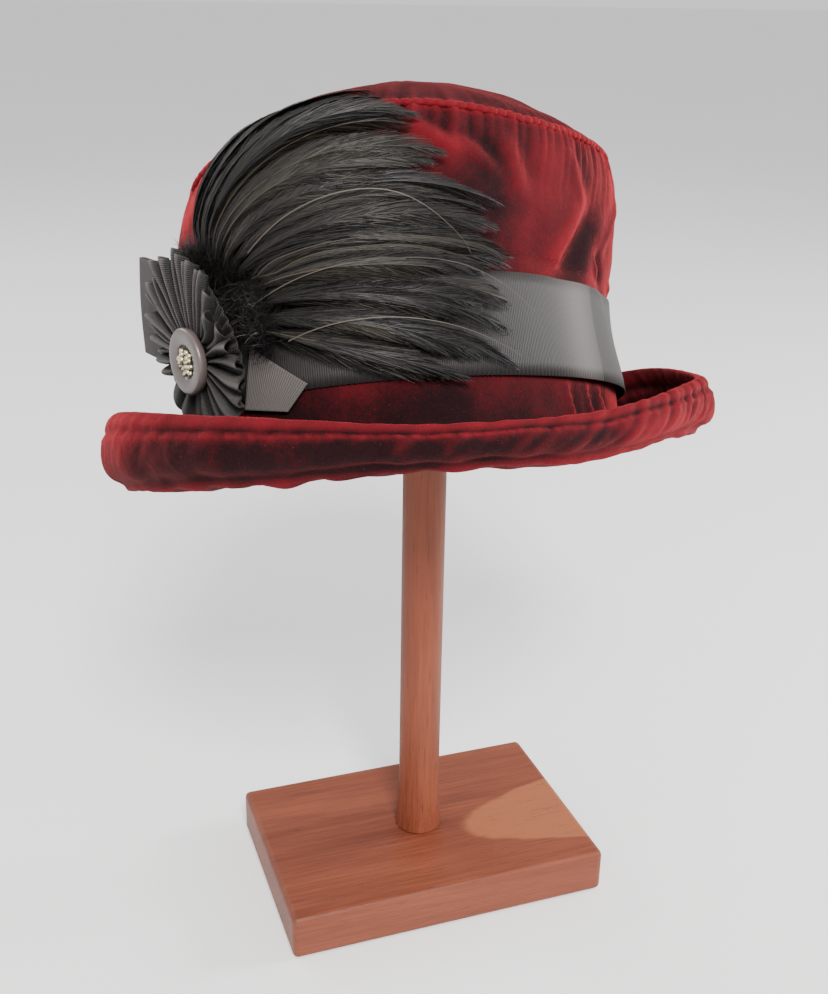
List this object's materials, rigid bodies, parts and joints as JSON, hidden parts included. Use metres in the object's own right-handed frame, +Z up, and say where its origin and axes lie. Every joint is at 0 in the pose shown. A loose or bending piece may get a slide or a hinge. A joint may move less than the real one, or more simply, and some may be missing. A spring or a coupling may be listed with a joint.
{
  "type": "velvet hat on a wooden stand",
  "caption": "Maroon velvet hat with a rolled brim, wide ribbon band, black feather fan, pleated rosette and button, resting on a plain wooden stand.",
  "frame": {"origin": "centre of the stand block's underside, on the post's axis", "axes": "+Z up along the post, X along the block's length, the hat's front and rosette towards -Y and -X"},
  "size_m": [0.2621, 0.2506, 0.3625],
  "materials": {
    "wood": "stained, satin",
    "velvet": "napped pile with sheen",
    "ribbon": "ribbed grosgrain",
    "feather": "fine barbs with a soft gloss",
    "button_shell": "smooth, satin",
    "gilt": "polished"
  },
  "bodies": {
    "root": {"stand_base": "wood", "stand_post": "wood", "stand_head": "wood", "crown_side": "velvet", "crown_tip": "velvet", "crown_piping": "velvet", "brim": "velvet", "brim_edge": "velvet", "hat_band": "ribbon", "ribbon_loop": "ribbon", "ribbon_tail": "ribbon", "rosette": "ribbon", "button": "button_shell", "button_beads": "gilt", "feather_fan": "feather"}
  },
  "joints": []
}
